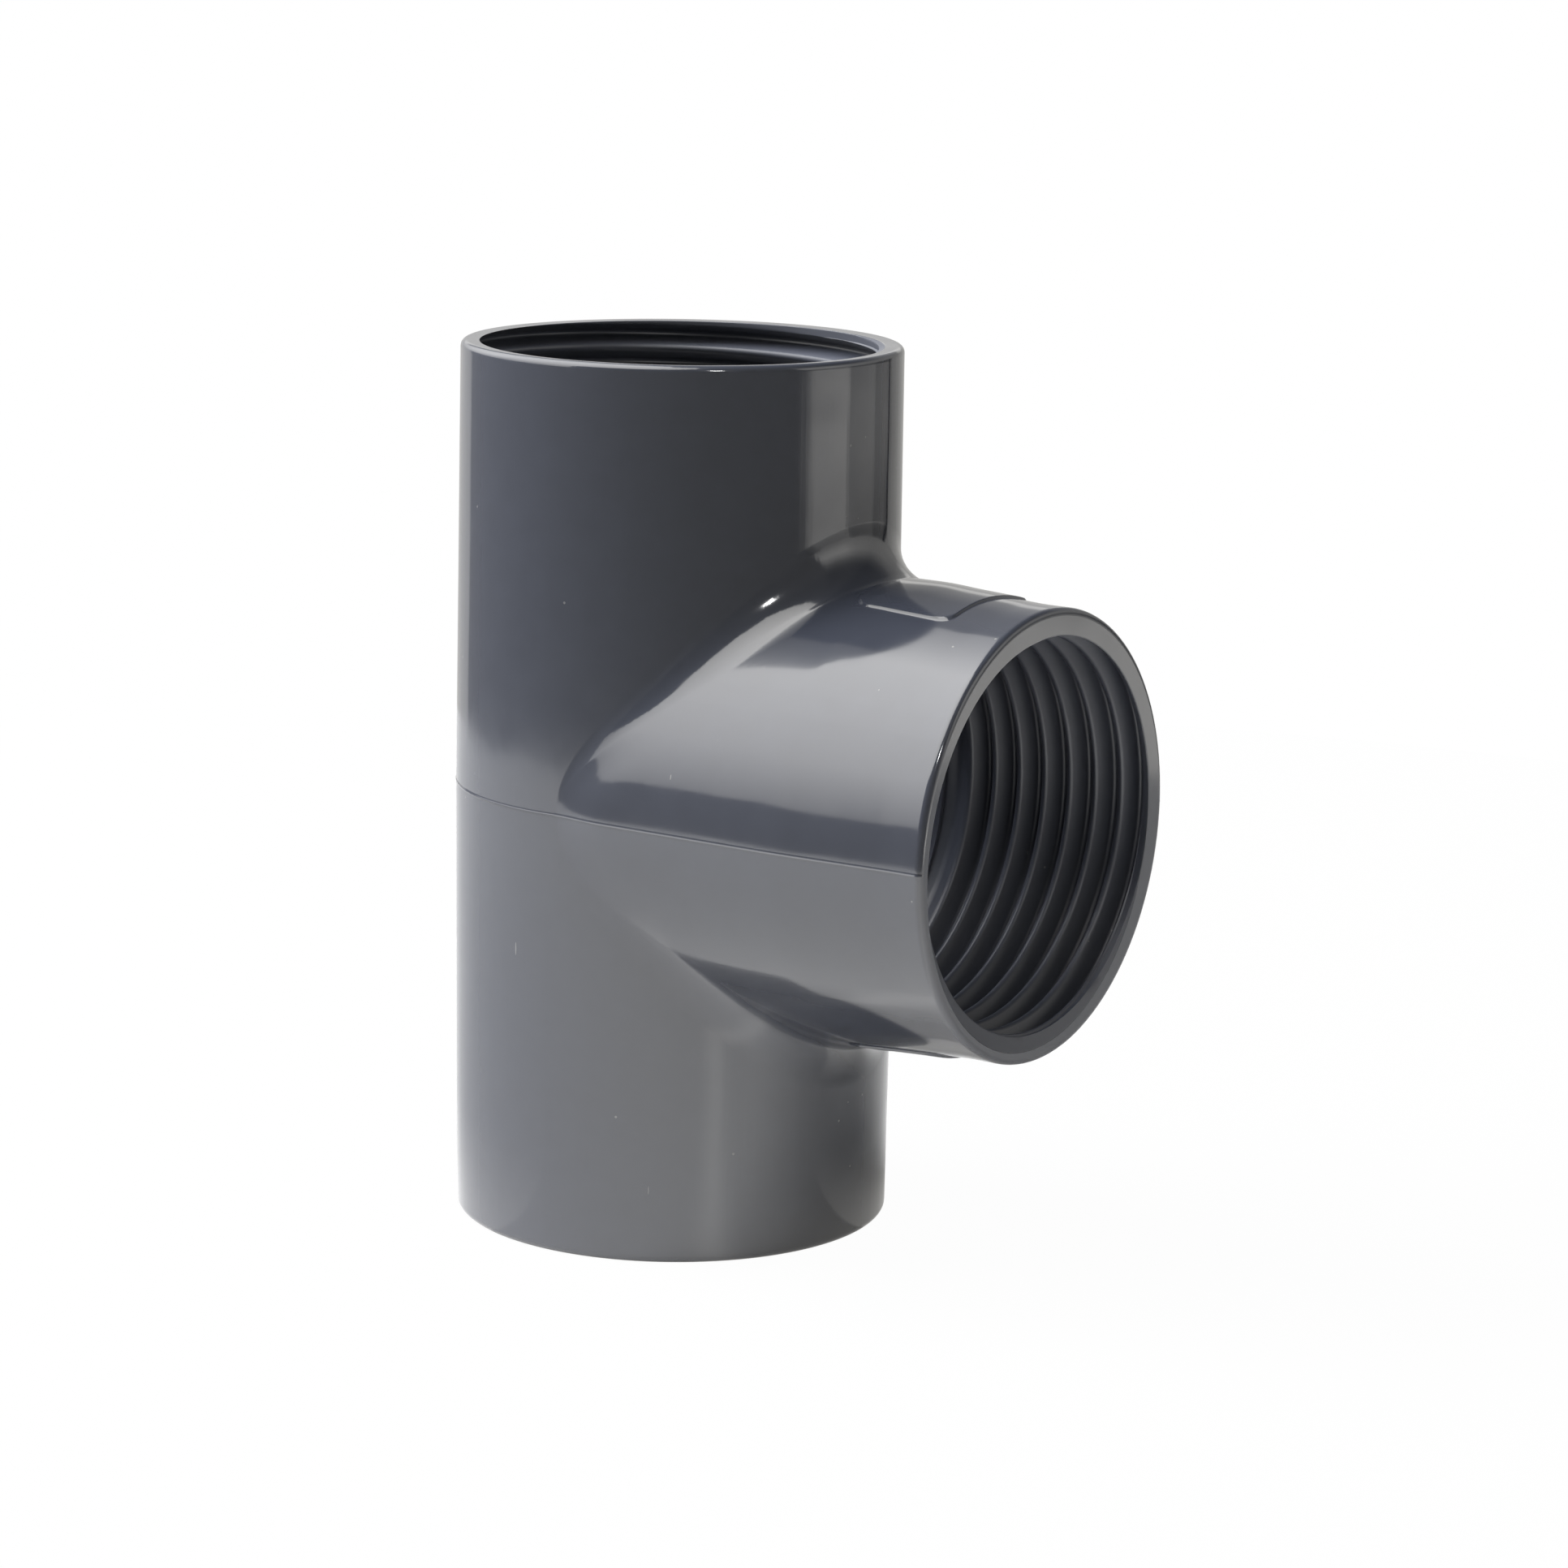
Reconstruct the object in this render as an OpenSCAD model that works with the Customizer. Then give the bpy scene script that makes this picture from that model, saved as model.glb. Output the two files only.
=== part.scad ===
// Pipe tee: an equal tee moulded in one piece, with an internal pipe thread in each of its three mouths.
// The run stands along Z on its lower mouth, whose face has the origin at its centre. The branch points
// along +X. Sizes are in mm.

/* [Thread] */
// radius at the thread's roots, the major radius
root_radius = 16.6245; // [9:0.001:24]
// axial distance from one turn of the thread to the next
thread_pitch = 2.309; // [1.3:0.001:2.6]
// distance from either axis of the tee at which the other tube's groove has run out
groove_clear = 16.3; // [16:0.1:24]
// length over which a groove runs out
groove_runout = 1.9; // [1:0.1:4]
// depth of the short plain lip inside each face
lip_depth = 0.6; // [0.3:0.1:1.2]
// how far the lip is wider than the thread's crests
lip_step = 0.25; // [0.1:0.05:0.5]
// share of its full width that a groove has where it starts at the face
start_width = 0.48; // [0.3:0.01:0.6]
// share of its full depth that a groove has where it starts at the face
start_depth = 0.8; // [0.4:0.05:1]

/* [Body] */
// wall outside the thread's roots, at the parting line
root_wall = 0.875; // [0.6:0.005:6]
// how much slimmer the run is at its ends than at the parting line, for the mould's draft
run_draft = 0.2; // [0.05:0.01:0.5]
// how much slimmer the branch's straight end is than the run's middle
branch_relief = 0.09; // [0.02:0.01:0.2]
// how much wider the branch is than the run's middle where it leaves the run
branch_swell = 0.45; // [0.1:0.05:1]
// length of the branch's straight end
collar_length = 2.9; // [1:0.1:4]
// distance of the branch's axis from either end of the run
run_half = 34.8; // [32:0.1:70]
// distance of the branch's face from the run's axis
branch_length = 34.4; // [32:0.1:70]
// rounding of each mouth's outer edge
rim_round = 0.5; // [0.2:0.05:0.6]
// radius of the rounding in the crotch between run and branch
crotch_radius = 4.3; // [1:0.1:5]
// how much narrower the run's plain waterway is than the thread's crests
waterway_step = 0.15; // [0.1:0.05:3]

/* [Label pads] */
// how far the bare raised pads above and below the branch stand proud
pad_height = 0.2; // [0.1:0.05:0.6]
// half the angle that a pad covers round the branch
pad_half_angle = 19.5; // [10:0.5:60]
// length of a pad along the branch
pad_length = 9; // [4:0.5:10]
// distance of a pad from the run's wall, so that its inner end dies into the crotch's rounding
pad_gap = 2.5; // [2:0.1:4]

/* [Hidden] */
$fn = 96;
crest_radius = root_radius - 0.640327 * thread_pitch;  // a 55 degree pipe thread's depth
thread_flat = thread_pitch / 6;                        // width of a crest and of a root, both cut flat
thread_sides = 32;                                     // facets round one turn
run_radius = root_radius + root_wall;
branch_radius = run_radius - branch_relief;            // at the straight end
swell_radius = run_radius + branch_swell;              // where the branch leaves the run
swell_start = 0.5;                                     // the branch widens between these two distances from
swell_end = 5.5;                                       // the run's axis, beside the run
run_bore = crest_radius - waterway_step;
branch_bore = run_bore - 0.1;                          // a little narrower, so that the two bores cross cleanly
lip_radius = crest_radius + lip_step;
core_tail = 0.6;                                       // a thread core goes this far past its groove's end
overrun = 1;                                           // how far cutting tools start outside a face
rolling = run_radius + crotch_radius;                  // from the run's axis to the crotch rounding's centre
rolling_out = swell_radius + crotch_radius;            // from the branch's axis to the same
collar_start = branch_length - collar_length;
taper = (swell_radius - branch_radius) / (collar_start - rolling);
web_sink = 0.15;                                       // how far the crotch web is sunk into the two tubes
web_core = 1.2;                                        // how deep in the walls it is closed
pad_root = 1;                                          // how deep in the wall a pad is rooted

// one end of a tube, along +Z: a straight or drafted outside with a rounded edge at its face
module tube_end(foot_radius, face_radius, length) {
    rotate_extrude()
        polygon(concat(
            [[0, 0], [foot_radius, 0]],
            [for (a = [0:15:90]) [face_radius - rim_round * (1 - cos(a)), length - rim_round * (1 - sin(a))]],
            [[0, length]]));
}

// turns a child made along +Z onto the branch
module on_branch() {
    rotate([0, 90, 0]) children();
}

// section of the crotch web at angle t round the branch, measured from the plane of the two axes: the arc of
// a ball that rolls along the crotch, between its two lines of contact, closed well inside the walls
function web_section(t, steps = 8) =
    let (y = rolling_out * sin(t), z = rolling_out * cos(t), x = sqrt(rolling * rolling - y * y),
         centre = [x, y, z],
         to_run = -[x, y, 0] / rolling,
         to_branch = -[0, y, z] / rolling_out,
         sweep = acos(to_run * to_branch),
         sunk = run_radius - web_sink,
         sunk_out = swell_radius - web_sink,
         deep = run_radius - web_core)
    concat(
        [[sunk * x / rolling, sunk * y / rolling, z * (1 + web_sink / rolling)]],
        [for (k = [1:steps - 1])
            let (part = k / steps)
            centre + crotch_radius / sin(sweep)
                * (sin(sweep * (1 - part)) * to_run + sin(sweep * part) * to_branch)],
        [[x * (1 + web_sink / rolling), sunk_out * y / rolling_out, sunk_out * z / rolling_out],
         [deep * x / rolling, deep * y / rolling, deep * z / rolling_out]]);

// the web that rounds the upper crotch and fades out where the sides of the two tubes run level
module crotch_web(stations = 30, last_angle = 71) {
    rings = [for (i = [0:stations]) web_section(last_angle * (2 * i / stations - 1))];
    m = len(rings[0]);
    polyhedron(
        points = [for (ring = rings, p = ring) p],
        faces = concat(
            [[for (k = [0:m - 1]) k]],
            [for (i = [0:stations - 1], k = [0:m - 1])
                let (a = i * m + k, b = i * m + (k + 1) % m) [a, a + m, b]],
            [for (i = [0:stations - 1], k = [0:m - 1])
                let (a = i * m + k, b = i * m + (k + 1) % m) [b, a + m, b + m]],
            [[for (k = [m - 1:-1:0]) stations * m + k]]));
}

// outside radius of the branch at distance x from the run's axis, beyond its widening
function branch_at(x) = swell_radius - taper * max(0, x - rolling);

// the outside of the branch: it widens beside the run, narrows evenly from the crotch and ends straight
module branch_outside() {
    on_branch() rotate_extrude()
        polygon(concat(
            [[0, 0], [branch_radius, 0]],
            [for (k = [0:5])
                let (part = k / 5)
                [branch_radius + (swell_radius - branch_radius) * part * part * (3 - 2 * part),
                 swell_start + (swell_end - swell_start) * part]],
            [[swell_radius, rolling], [branch_radius, collar_start]],
            [for (a = [0:15:90])
                [branch_radius - rim_round * (1 - cos(a)), branch_length - rim_round * (1 - sin(a))]],
            [[0, branch_length]]));
}

// a bare raised pad on the upper side of the branch, concentric with it
module label_pad() {
    near = run_radius + pad_gap;
    far = near + pad_length;
    root = branch_radius - pad_root;
    on_branch()
        rotate([0, 0, 180 - pad_half_angle])
            rotate_extrude(angle = 2 * pad_half_angle)
                polygon([[root, near], [swell_radius, near], [swell_radius + pad_height, near + pad_height],
                         [swell_radius + pad_height, rolling],
                         [branch_at(far) + pad_height, far - pad_height], [branch_at(far), far], [root, far]]);
}

// what lies above the branch's axis, apart from the branch
module upper_half() {
    tube_end(run_radius, run_radius - run_draft, run_half);
    crotch_web();
    label_pad();
}

module outside() {
    upper_half();
    mirror([0, 0, 1]) upper_half();
    branch_outside();
}

// points of a thread core along one line parallel to its axis, at angle a: each turn of the groove has four,
// at its two crests and at the two corners of its root. Depth z is measured from the face.
function core_line(a, groove_end) =
    let (turns = ceil(groove_end / thread_pitch) + 1,
         dir = [cos(a), sin(a)],
         crest = crest_radius * dir,
         half_widths = [-(thread_pitch - thread_flat), -thread_flat, thread_flat, thread_pitch - thread_flat] / 2)
    concat(
        [[crest[0], crest[1], -1.5 * thread_pitch]],
        [for (turn = [-1:turns - 2], corner = [0:3])
            let (z = thread_pitch * (turn + a / 360),
                 width = max(start_width, min(1, start_width + (1 - start_width) * (z - lip_depth) / thread_pitch)),
                 depth = max(0, min(1, start_depth + (1 - start_depth) * z / thread_pitch,
                                    (groove_end - z) / groove_runout)),
                 at = z + width * half_widths[corner],
                 // what lies past the run-out is drawn together, so that the core ends soon after it
                 gathered = at < groove_end ? at : groove_end + 0.15 * (at - groove_end),
                 r = crest_radius + (corner == 1 || corner == 2 ? depth * (root_radius - crest_radius) : 0))
            [r * dir[0], r * dir[1], gathered]],
        [[crest[0], crest[1], groove_end + core_tail]]);

// triangles between two lines of points, where each point of line a meets the one shift further on line b
function strip(a, b, count, shift = 0) =
    concat(
        [for (k = [0:count - 1]) [a + k, a + k + 1, b + k + shift]],
        [for (k = [0:count - 1]) [b + k + shift, a + k + 1, b + k + shift + 1]]);

// the core that moulds one mouth's right-hand thread. Its groove starts at the face at angle 0, small,
// and runs out at the depth groove_end.
module thread_core(groove_end) {
    lines = [for (j = [0:thread_sides - 1]) core_line(360 * j / thread_sides, groove_end)];
    m = len(lines[0]);
    seam = (thread_sides - 1) * m;
    polyhedron(
        points = [for (line = lines, p = line) p],
        faces = concat(
            [[for (j = [0:thread_sides - 1]) j * m]],
            [for (j = [0:thread_sides - 2], f = strip(j * m, (j + 1) * m, m - 1)) f],
            // across the seam each turn meets the next one, four points on
            [for (k = [0:3]) [seam, k + 1, k]],
            strip(seam, 0, m - 5, 4),
            [for (k = [m - 5:m - 2]) [seam + k, seam + k + 1, m - 1]],
            [[for (j = [thread_sides - 1:-1:0]) j * m + m - 1]]));
}

// everything cut from a mouth whose face lies at distance length from the crossing of the axes,
// with its groove starting at angle start
module mouth_cut(length, start) {
    translate([0, 0, length]) rotate([180, 0, 0]) {
        rotate([0, 0, start]) thread_core(length - groove_clear);
        translate([0, 0, -overrun]) cylinder(r = lip_radius, h = lip_depth + overrun);
        translate([0, 0, lip_depth])
            cylinder(r1 = lip_radius, r2 = crest_radius - web_sink, h = lip_step + web_sink);
    }
}

module waterways() {
    reach = groove_clear + groove_runout;
    cylinder(r = run_bore, h = 2 * reach, center = true);
    on_branch() cylinder(r = branch_bore, h = reach);
}

module tee_body() {
    color([0.27, 0.28, 0.315])
    translate([0, 0, run_half])
        difference() {
            outside();
            waterways();
            mouth_cut(run_half, 56);
            rotate([180, 0, 0]) mouth_cut(run_half, 56);
            on_branch() mouth_cut(branch_length, 50);
        }
}

tee_body();
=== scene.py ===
"""The looks of the pipe tee: one glossy dark grey moulding with an internal thread in each mouth.

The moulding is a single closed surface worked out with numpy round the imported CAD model. Sizes in the
shape classes are millimetres, measured from the crossing of the two axes, and become metres with the
origin at the lower mouth's face when the mesh is made.
"""

import logging
from dataclasses import dataclass, field
from enum import Enum

import bmesh
import bpy
import numpy as np
from mathutils import Matrix, Vector


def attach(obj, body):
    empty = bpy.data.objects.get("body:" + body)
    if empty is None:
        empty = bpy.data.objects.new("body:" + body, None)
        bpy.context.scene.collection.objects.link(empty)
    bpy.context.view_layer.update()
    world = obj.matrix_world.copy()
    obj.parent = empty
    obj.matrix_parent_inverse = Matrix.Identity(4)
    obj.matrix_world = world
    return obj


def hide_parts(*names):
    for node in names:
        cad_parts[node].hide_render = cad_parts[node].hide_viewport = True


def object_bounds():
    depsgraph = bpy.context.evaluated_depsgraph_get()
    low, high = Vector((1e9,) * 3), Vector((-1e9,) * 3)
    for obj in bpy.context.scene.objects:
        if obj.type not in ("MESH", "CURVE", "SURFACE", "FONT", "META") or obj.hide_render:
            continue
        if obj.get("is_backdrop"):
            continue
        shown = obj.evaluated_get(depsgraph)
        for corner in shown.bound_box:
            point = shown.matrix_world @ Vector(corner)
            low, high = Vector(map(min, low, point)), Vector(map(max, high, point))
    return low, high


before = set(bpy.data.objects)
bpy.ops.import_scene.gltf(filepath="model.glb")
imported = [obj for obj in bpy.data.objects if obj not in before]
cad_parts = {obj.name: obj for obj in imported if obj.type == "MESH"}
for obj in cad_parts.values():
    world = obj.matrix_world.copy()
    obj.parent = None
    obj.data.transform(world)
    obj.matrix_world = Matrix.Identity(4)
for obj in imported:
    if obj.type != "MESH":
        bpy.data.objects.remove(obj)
LOG = logging.getLogger("pipe_tee")
MM = 0.001


def smooth_step(x: np.ndarray) -> np.ndarray:
    """Gives 3x^2 - 2x^3 with x held between 0 and 1."""
    x = np.clip(x, 0.0, 1.0)
    return x * x * (3.0 - 2.0 * x)


def columns(low: float, high: float, step: float, fine: list[tuple[float, float, float]],
            exact: list[float]) -> np.ndarray:
    """Gives the angles of a grid's columns.

    Args:
        low: first angle in degrees.
        high: last angle in degrees.
        step: plain spacing in degrees.
        fine: bands with closer columns, each as (centre, half width, spacing) in degrees.
        exact: angles that have to have a column of their own.

    Returns:
        The sorted angles in degrees.
    """
    plain = np.linspace(low, high, int(round((high - low) / step)) + 1)
    keep = np.ones(len(plain), bool)
    bands = []
    for centre, half, spacing in fine:
        band = centre + np.linspace(-half, half, int(round(2 * half / spacing)) + 1)
        keep &= np.abs(plain - centre) > half + 0.3 * spacing
        bands.append(band)
    ends = np.array([low, high] + exact)
    everything = np.concatenate([plain[keep], ends, *bands])
    everything = everything[(everything >= low) & (everything <= high)]
    return np.unique(np.round(everything, 4))


def grid_faces(rows: int, cols: int, start: int) -> np.ndarray:
    """Gives the quads of a grid of points that is stored row by row from index start."""
    corner = np.arange(rows - 1)[:, None] * cols + np.arange(cols - 1)[None, :] + start
    return np.stack([corner, corner + 1, corner + cols + 1, corner + cols], axis=-1).reshape(-1, 4)


@dataclass
class Moulding:
    """Collects grids of points and makes them one closed mesh.

    Attributes:
        lift: height of the axes' crossing above the origin, in millimetres.
        points: each grid's points.
        quads: each grid's faces.
        count: number of points so far.
    """

    lift: float
    points: list[np.ndarray] = field(default_factory=list)
    quads: list[np.ndarray] = field(default_factory=list)
    count: int = 0

    def add(self, grid: np.ndarray) -> None:
        """Adds a grid of points and its faces.

        Args:
            grid: the points, with shape (rows, columns, 3), in millimetres from the crossing.
        """
        rows, cols = grid.shape[:2]
        self.quads.append(grid_faces(rows, cols, self.count))
        self.points.append(grid.reshape(-1, 3))
        self.count += rows * cols

    def add_both_halves(self, grid: np.ndarray) -> None:
        """Adds a grid and its image in the plane of the parting line."""
        self.add(grid)
        self.add(grid * np.array([1.0, 1.0, -1.0]))

    def mark_bores(self, mesh: bpy.types.Mesh, radius: float, branch_start: float, branch_end: float,
                   face_gap: float) -> None:
        """Marks the mouths' inner walls with 1 in the attribute "bore", and everything else with 0.

        Args:
            mesh: the finished mesh, in metres.
            radius: radius in millimetres inside which a point belongs to a bore.
            branch_start: distance from the run's axis at which the branch's bore starts, in millimetres.
            branch_end: distance of the branch's face from the run's axis, in millimetres.
            face_gap: depth below a face, in millimetres, from which its bore is marked.
        """
        place = np.empty(3 * len(mesh.vertices), np.float32)
        mesh.vertices.foreach_get("co", place)
        x, y, z = place.reshape(-1, 3).T / MM - np.array([[0.0], [0.0], [self.lift]])
        in_branch = (x > branch_start) & (np.hypot(y, z) < radius) & (x < branch_end - face_gap)
        in_run = (np.hypot(x, y) < radius) & (np.abs(z) < self.lift - face_gap)
        values = mesh.attributes.new("bore", "FLOAT", "POINT")
        values.data.foreach_set("value", (in_branch | in_run).astype(np.float32))

    def make(self, name: str, weld: float, sharp_angle: float) -> bpy.types.Object:
        """Welds the grids where they meet and turns all faces outwards.

        Args:
            name: name of the new object.
            weld: distance in metres under which points become one.
            sharp_angle: angle in degrees above which an edge is shaded as sharp.

        Returns:
            The new object, with its place in its mesh.
        """
        points = (np.concatenate(self.points) + np.array([0.0, 0.0, self.lift])) * MM
        quads = np.concatenate(self.quads)
        mesh = bpy.data.meshes.new(name)
        mesh.from_pydata(points, [], quads)
        work = bmesh.new()
        work.from_mesh(mesh)
        bmesh.ops.remove_doubles(work, verts=work.verts, dist=weld)
        bmesh.ops.dissolve_degenerate(work, edges=work.edges, dist=weld)
        bmesh.ops.recalc_face_normals(work, faces=work.faces)
        open_edges = sum(1 for edge in work.edges if len(edge.link_faces) != 2)
        LOG.info("%s: %d points, %d faces, %d open edges", name, len(work.verts), len(work.faces), open_edges)
        work.to_mesh(mesh)
        work.free()
        mesh.shade_smooth()
        mesh.set_sharp_from_angle(angle=np.radians(sharp_angle))
        piece = bpy.data.objects.new(name, mesh)
        bpy.context.scene.collection.objects.link(piece)
        return piece


@dataclass(frozen=True)
class Relief:
    """Height of the fine features above the plain outside, as a function of place.

    Attributes:
        pad_height: how far the bare pads stand proud.
        pad_start: distance of a pad's inner end from the run's axis.
        pad_end: distance of its outer end.
        pad_half_angle: half the angle that it covers round the branch, in degrees.
        pad_edge: width over which its edge rises.
        inner_corner: radius of its two corners next to the crotch.
        outer_corner: radius of its two corners next to the mouth.
        line_height: height of the parting line's fine ridge.
        line_width: half width of that ridge.
    """

    pad_height: float = 0.2
    pad_start: float = 20.0
    pad_end: float = 29.0
    pad_half_angle: float = 19.5
    pad_edge: float = 0.18
    inner_corner: float = 2.0
    outer_corner: float = 1.2
    line_height: float = 0.045
    line_width: float = 0.07

    def pad(self, angle: np.ndarray, along: np.ndarray, radius: float) -> np.ndarray:
        """Rises from 0 to the pad's height over its edge, by the distance inside a rounded rectangle.

        Args:
            angle: angle from the middle of the pad round the branch, in degrees.
            along: distance from the run's axis.
            radius: the branch's outside radius.

        Returns:
            The height at each point.
        """
        half_width = np.radians(self.pad_half_angle) * radius
        across = np.abs(np.radians(angle)) * radius
        middle, half_length = (self.pad_start + self.pad_end) / 2, (self.pad_end - self.pad_start) / 2
        corner = np.where(along < middle, self.inner_corner, self.outer_corner)
        dx = np.abs(along - middle) - (half_length - corner)
        dy = across - (half_width - corner)
        outside = np.hypot(np.maximum(dx, 0.0), np.maximum(dy, 0.0))
        distance = corner - outside - np.minimum(np.maximum(dx, dy), 0.0)
        return self.pad_height * smooth_step(distance / self.pad_edge)

    def line(self, height: np.ndarray) -> np.ndarray:
        """A bell curve across the parting line, from the distance to its plane."""
        return self.line_height * np.exp(-((height / self.line_width) ** 2))


@dataclass(frozen=True)
class Swell:
    """Outline of the branch: level with the run beside it, widest at the crotch, then narrowing evenly.

    Attributes:
        side_radius: radius at the parting line, right beside the run.
        crotch_radius: radius where the branch leaves the crotch.
        end_radius: radius of its straight end.
        taper_start: distance from the run's axis at which it starts to narrow.
        collar_start: distance at which it has become straight.
        widening: length over which it widens beside the run.
        fade: angle before the parting line, in degrees, over which the crotch's radius falls to the side's.
    """

    side_radius: float = 17.4495
    crotch_radius: float = 17.9495
    end_radius: float = 17.4095
    taper_start: float = 21.8
    collar_start: float = 31.5
    widening: float = 4.5
    fade: float = 24.0

    def at_contact(self, angle: np.ndarray) -> np.ndarray:
        """Radius at the crotch's edge, by the angle in degrees round the branch from its top."""
        share = smooth_step((90.0 - np.abs(angle)) / self.fade)
        return self.side_radius + (self.crotch_radius - self.side_radius) * share

    def beyond(self, x: np.ndarray) -> np.ndarray:
        """Radius at distance x from the run's axis, past the widening."""
        share = np.clip((x - self.taper_start) / (self.collar_start - self.taper_start), 0.0, 1.0)
        return self.crotch_radius + (self.end_radius - self.crotch_radius) * share

    def wall(self, angle: np.ndarray, x: np.ndarray, contact_x: np.ndarray) -> np.ndarray:
        """Radius of the branch's wall, which passes from the crotch's edge to the outline beyond."""
        edge = self.at_contact(angle)
        return edge + (self.beyond(x) - edge) * smooth_step((x - contact_x) / self.widening)


@dataclass(frozen=True)
class Crossing:
    """Two tubes that cross at right angles, with a rounding where they meet.

    The rounding is the surface of a ball that rolls along both tubes from outside. Its centre lies one
    rounding further from each axis than that tube's surface, and it touches each tube right below it.

    Attributes:
        run_radius: radius of the run at the parting line.
        run_end_radius: radius of the run at the end of its grid.
        run_half: half the length of the run's grid.
        branch_radius: radius of the branch.
        branch_reach: where the branch's grid ends, from the run's axis.
        rounding: radius of the rolling ball.
        front: angles of the columns that the run shares with the branch, from -90 to 90 degrees.
        back: angles of the run's other columns, from 90 to 270 degrees.
        relief: fine features of the surface, or None for a plain one.
        swell: outline of the branch, or None for a straight one.
    """

    run_radius: float
    run_end_radius: float
    run_half: float
    branch_radius: float
    branch_reach: float
    rounding: float
    front: np.ndarray
    back: np.ndarray
    relief: Relief | None = None
    swell: Swell | None = None

    def run_radius_at(self, z: np.ndarray) -> np.ndarray:
        """Falls evenly from the parting line to either end."""
        return self.run_radius - (self.run_radius - self.run_end_radius) * np.abs(z) / self.run_half

    def contact(self) -> tuple[np.ndarray, np.ndarray, np.ndarray]:
        """Follows the ball round the crossing.

        The height and side of its centre come from the branch's circle, and the distance along the branch
        from the run's by Pythagoras.

        Returns:
            The ball's centre and its directions to the run and to the branch, one row per column.
        """
        a = np.radians(self.front)
        radius = self.branch_radius if self.swell is None else self.swell.at_contact(self.front)
        reach = radius + self.rounding
        y, z = reach * np.sin(a), reach * np.cos(a)
        to_axis = self.run_radius_at(z) + self.rounding
        x = np.sqrt(to_axis ** 2 - y ** 2)
        zero = np.zeros_like(a)
        to_run = -np.stack([x / to_axis, y / to_axis, zero], axis=-1)
        to_branch = -np.stack([zero, np.sin(a), np.cos(a)], axis=-1)
        return np.stack([x, y, z], axis=-1), to_run, to_branch

    def raised(self, points: np.ndarray, normals: np.ndarray) -> np.ndarray:
        """Moves points out by the parting line's height at their distance from its plane.

        Args:
            points: the points.
            normals: the outward direction at each.

        Returns:
            The moved points.
        """
        if self.relief is None:
            return points
        return points + normals * self.relief.line(points[..., 2])[..., None]

    def crotch(self, parts: np.ndarray) -> np.ndarray:
        """The ball's arc between its two contacts, turned evenly from one direction to the other.

        Where a pad stands higher than the arc, the surface is the pad's.

        Args:
            parts: share of the arc at each row, from 0 to 1.

        Returns:
            A grid of the upper half, from the run's contact to the branch's.
        """
        centre, to_run, to_branch = self.contact()
        sweep = np.arccos(np.clip((to_run * to_branch).sum(-1), -1.0, 1.0))[None, :, None]
        part = parts[:, None, None]
        direction = (np.sin(sweep * (1 - part)) * to_run + np.sin(sweep * part) * to_branch) / np.sin(sweep)
        points = centre + self.rounding * direction
        if self.relief is not None:
            radius = np.hypot(points[..., 1], points[..., 2])
            angle = np.degrees(np.arctan2(points[..., 1], points[..., 2]))
            height = self.relief.pad(angle, points[..., 0], self.branch_radius)
            pad = self.swell.beyond(points[..., 0]) + height
            grown = np.where(height > 1e-6, np.maximum(radius, pad), radius) / radius
            points = points * np.stack([np.ones_like(grown), grown, grown], axis=-1)
        return self.raised(points, -direction)

    def run_front(self, shares: np.ndarray, fan: float) -> np.ndarray:
        """The run's wall above the crotch. Columns start at the contact and open out to even angles.

        Args:
            shares: share of the way up at each row, from 0 to 1.
            fan: share of the way up by which the columns have opened out.

        Returns:
            A grid of the upper half, from the contact to the end.
        """
        centre, to_run, _ = self.contact()
        start = np.degrees(np.arctan2(-to_run[:, 1], -to_run[:, 0]))
        opened = smooth_step(shares / fan)[:, None]
        angle = start[None, :] * (1 - opened) + self.front[None, :] * opened
        z = centre[None, :, 2] * (1 - shares[:, None]) + self.run_half * shares[:, None]
        return self.on_run(angle, z)

    def run_back(self, shares: np.ndarray, fan: float) -> np.ndarray:
        """The run's wall behind the branch, whose first and last columns are those of run_front.

        Args:
            shares: share of the way up at each row, from 0 to 1.
            fan: share of the way up by which the columns have opened out.

        Returns:
            A grid of the upper half, from the crotch's height at its ends to the run's end.
        """
        centre, to_run, _ = self.contact()
        tip = np.degrees(np.arctan2(-to_run[-1, 1], -to_run[-1, 0]))
        opened = smooth_step(shares / fan)[:, None]
        edge = tip * (1 - opened) + 90.0 * opened
        angle = 180.0 + (self.back[None, :] - 180.0) * (180.0 - edge) / 90.0
        z = centre[-1, 2] * (1 - shares[:, None]) + self.run_half * shares[:, None] + 0.0 * angle
        return self.on_run(angle, z)

    def on_run(self, angle: np.ndarray, z: np.ndarray) -> np.ndarray:
        """Puts points on the run's surface.

        Args:
            angle: angle of each point round the run's axis, in degrees.
            z: height of each above the crossing.

        Returns:
            The points, raised at the parting line.
        """
        turn = np.radians(angle)
        normal = np.stack([np.cos(turn), np.sin(turn), np.zeros_like(turn)], axis=-1)
        radius = self.run_radius_at(z)[..., None]
        points = normal * radius + np.stack([0 * z, 0 * z, z], axis=-1)
        return self.raised(points, normal)

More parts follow.
